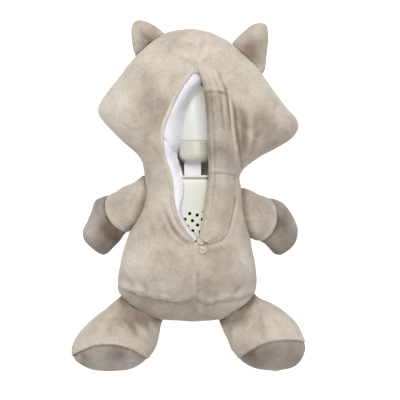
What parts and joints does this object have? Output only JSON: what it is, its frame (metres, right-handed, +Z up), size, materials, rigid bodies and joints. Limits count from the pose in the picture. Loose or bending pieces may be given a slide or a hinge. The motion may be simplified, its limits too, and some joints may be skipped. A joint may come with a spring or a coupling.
{
  "type": "plush sleep soother",
  "caption": "Stuffed animal lying face down, with a slit in its back that opens on a padded pocket holding a removable lamp and sound unit on a strap.",
  "frame": {"origin": "on the ground plane, under the middle of the toy's outline as it lies face down", "axes": "+X to the right seen from the back, +Y from the feet towards the ears, +Z up out of the back"},
  "size_m": [0.2112, 0.3164, 0.0971],
  "materials": {
    "plush_taupe": "short pile plush",
    "plush_grey": "short pile plush, darker",
    "face_thread": "satin stitch",
    "liner_cloth": "plain woven cloth",
    "tape_white": "hook and loop tape",
    "strap_white": "woven webbing",
    "case_white": "moulded, satin gloss",
    "lamp_base_grey": "moulded, satin gloss",
    "lamp_milk": "translucent milky",
    "steel": "plated",
    "foam_black": "closed foam",
    "cone_black": "doped paper look",
    "board_green": "solder mask",
    "led_clear": "clear moulded",
    "battery_sleeve": "plain printed sleeve",
    "button_blue": "soft moulded",
    "switch_grey": "moulded",
    "cable_dark": "insulated wire"
  },
  "bodies": {
    "stuffed_body": {"head": "plush_taupe", "torso": "plush_taupe", "seat_panel": "plush_taupe", "left_ear": "plush_taupe", "right_ear": "plush_taupe", "muzzle": "plush_taupe", "nose": "face_thread", "left_eye": "face_thread", "right_eye": "face_thread", "pocket_liner": "liner_cloth", "left_lip": "plush_taupe", "loop_tape": "tape_white", "slit_knot": "plush_taupe"},
    "left_arm": {"left_arm": "plush_taupe", "left_paw": "plush_grey"},
    "right_arm": {"right_arm": "plush_taupe", "right_paw": "plush_grey"},
    "left_leg": {"left_leg": "plush_taupe", "left_sole": "plush_grey"},
    "right_leg": {"right_leg": "plush_taupe", "right_sole": "plush_grey"},
    "flap": {"right_flap": "plush_taupe", "hook_tape": "tape_white"},
    "sound_lamp_unit": {"case_back": "case_white", "case_front": "case_white", "case_cap": "case_white", "speaker_gasket": "foam_black", "speaker_basket": "steel", "speaker_cone": "cone_black", "main_board": "board_green", "battery_left": "battery_sleeve", "battery_right": "battery_sleeve", "contact_plus": "steel", "contact_minus": "steel", "contact_bridge": "steel", "lamp_dome": "lamp_milk", "lamp_base": "lamp_base_grey", "lamp_board": "board_green", "lamp_led": "led_clear", "link_strap": "strap_white", "link_cable": "cable_dark"},
    "play_button": {"play_button": "button_blue"},
    "volume_up_button": {"volume_up_button": "button_blue"},
    "volume_down_button": {"volume_down_button": "button_blue"},
    "power_switch": {"power_switch": "switch_grey"},
    "battery_door": {"battery_door": "case_white", "door_screw": "steel"}
  },
  "joints": [
    {"name": "left_arm_hinge", "type": "hinge", "parent": "stuffed_body", "child": "left_arm", "pos_m": [-0.04151, -0.0049, 0.0575], "axis": [0.2212, 0.9752, 0], "range_deg": [0, 60]},
    {"name": "right_arm_hinge", "type": "hinge", "parent": "stuffed_body", "child": "right_arm", "pos_m": [0.05025, -0.01507, 0.0575], "axis": [0.1338, -0.991, 0], "range_deg": [0, 60]},
    {"name": "left_leg_hinge", "type": "hinge", "parent": "stuffed_body", "child": "left_leg", "pos_m": [-0.04335, -0.09985, 0.044], "axis": [-0.8865, 0.4627, 0], "range_deg": [0, 45]},
    {"name": "right_leg_hinge", "type": "hinge", "parent": "stuffed_body", "child": "right_leg", "pos_m": [0.04233, -0.09985, 0.044], "axis": [-0.8729, -0.4878, 0], "range_deg": [0, 45]},
    {"name": "flap_hinge", "type": "hinge", "parent": "stuffed_body", "child": "flap", "pos_m": [0.0386, 0.034, 0.079], "axis": [0, 1, 0], "range_deg": [0, 40]},
    {"name": "unit_lift", "type": "slide", "parent": "stuffed_body", "child": "sound_lamp_unit", "axis": [0, 0, 1], "range_m": [0, 0.07], "deforming": ["left_lip", "loop_tape", "right_flap", "hook_tape"]},
    {"name": "play_button_press", "type": "slide", "parent": "sound_lamp_unit", "child": "play_button", "axis": [1, 0, 0], "range_m": [0, 0.0009], "stiffness_N_per_m": 900, "springref_m": -0.0006},
    {"name": "volume_up_press", "type": "slide", "parent": "sound_lamp_unit", "child": "volume_up_button", "axis": [1, 0, 0], "range_m": [0, 0.0009], "stiffness_N_per_m": 900, "springref_m": -0.0006},
    {"name": "volume_down_press", "type": "slide", "parent": "sound_lamp_unit", "child": "volume_down_button", "axis": [1, 0, 0], "range_m": [0, 0.0009], "stiffness_N_per_m": 900, "springref_m": -0.0006},
    {"name": "power_switch_slide", "type": "slide", "parent": "sound_lamp_unit", "child": "power_switch", "axis": [0, -1, 0], "range_m": [0, 0.004]},
    {"name": "battery_door_release", "type": "slide", "parent": "sound_lamp_unit", "child": "battery_door", "axis": [0, 0, -1], "range_m": [0, 0.003]}
  ]
}
